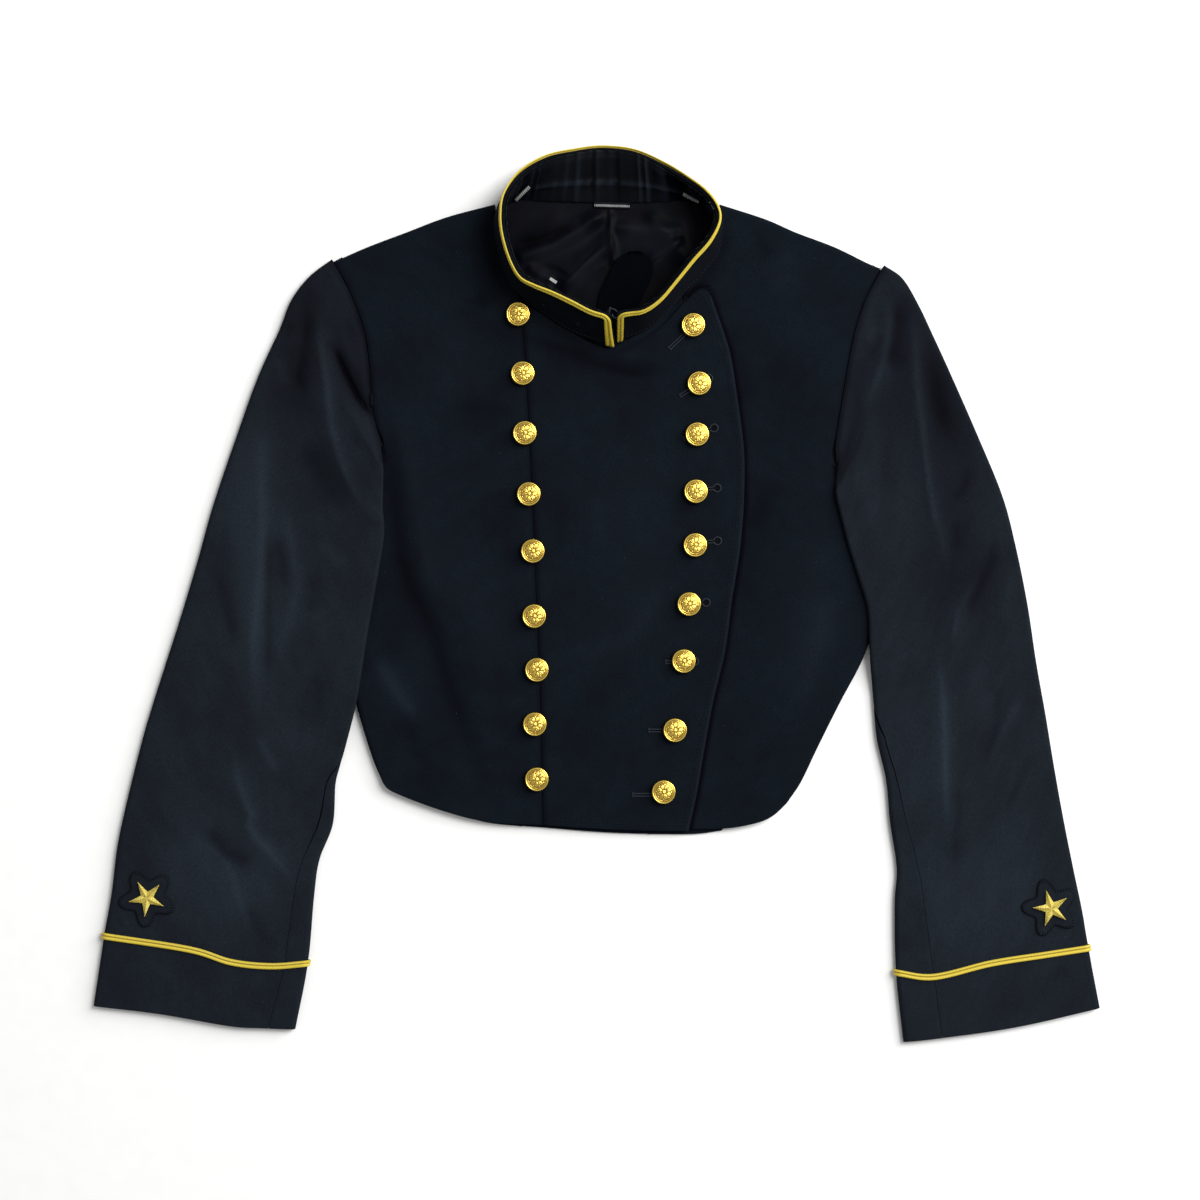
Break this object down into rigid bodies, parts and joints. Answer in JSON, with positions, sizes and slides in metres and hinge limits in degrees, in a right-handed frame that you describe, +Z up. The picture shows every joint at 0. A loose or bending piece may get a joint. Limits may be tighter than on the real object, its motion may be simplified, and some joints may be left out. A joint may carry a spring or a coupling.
{
  "type": "mess dress jacket",
  "caption": "Short double-breasted wool mess jacket laid flat, with standing collar, gold braid, cuff stars and gilt buttons.",
  "frame": {"origin": "middle of the laid-out jacket's footprint, on the surface that it lies on", "axes": "+X across the jacket towards the wearer's left, +Y from the hem towards the collar, +Z up from the surface"},
  "size_m": [0.7528, 0.6692, 0.0461],
  "materials": {
    "navy_wool": "matt fulled navy wool twill",
    "dark_satin": "dark satin lining with a soft sheen",
    "gold_braid": "yellow-gold rayon braid and embroidery",
    "gilt_brass": "polished gilt",
    "white_tape": "matt white cotton tape"
  },
  "bodies": {
    "root": {"back": "navy_wool", "front_right": "navy_wool", "front_left": "navy_wool", "front_overlap": "navy_wool", "front_underlap": "navy_wool", "underlap_corner": "navy_wool", "neck_lining": "dark_satin", "topsleeve_right": "navy_wool", "topsleeve_left": "navy_wool", "undersleeve_right": "navy_wool", "undersleeve_left": "navy_wool", "cuff_braid_right": "gold_braid", "cuff_braid_left": "gold_braid", "star_patch_right": "navy_wool", "star_patch_left": "navy_wool", "star_right": "gold_braid", "star_left": "gold_braid", "collar_band": "navy_wool", "collar_lining": "dark_satin", "collar_braid": "gold_braid", "collar_tab_right": "white_tape", "collar_tab_left": "white_tape", "label": "white_tape", "button_right_1": "gilt_brass", "button_right_2": "gilt_brass", "button_right_3": "gilt_brass", "button_right_4": "gilt_brass", "button_right_5": "gilt_brass", "button_right_6": "gilt_brass", "button_right_7": "gilt_brass", "button_right_8": "gilt_brass", "button_right_9": "gilt_brass", "button_left_1": "gilt_brass", "button_left_2": "gilt_brass", "button_left_3": "gilt_brass", "button_left_4": "gilt_brass", "button_left_5": "gilt_brass", "button_left_6": "gilt_brass", "button_left_7": "gilt_brass", "button_left_8": "gilt_brass", "button_left_9": "gilt_brass"}
  },
  "joints": []
}
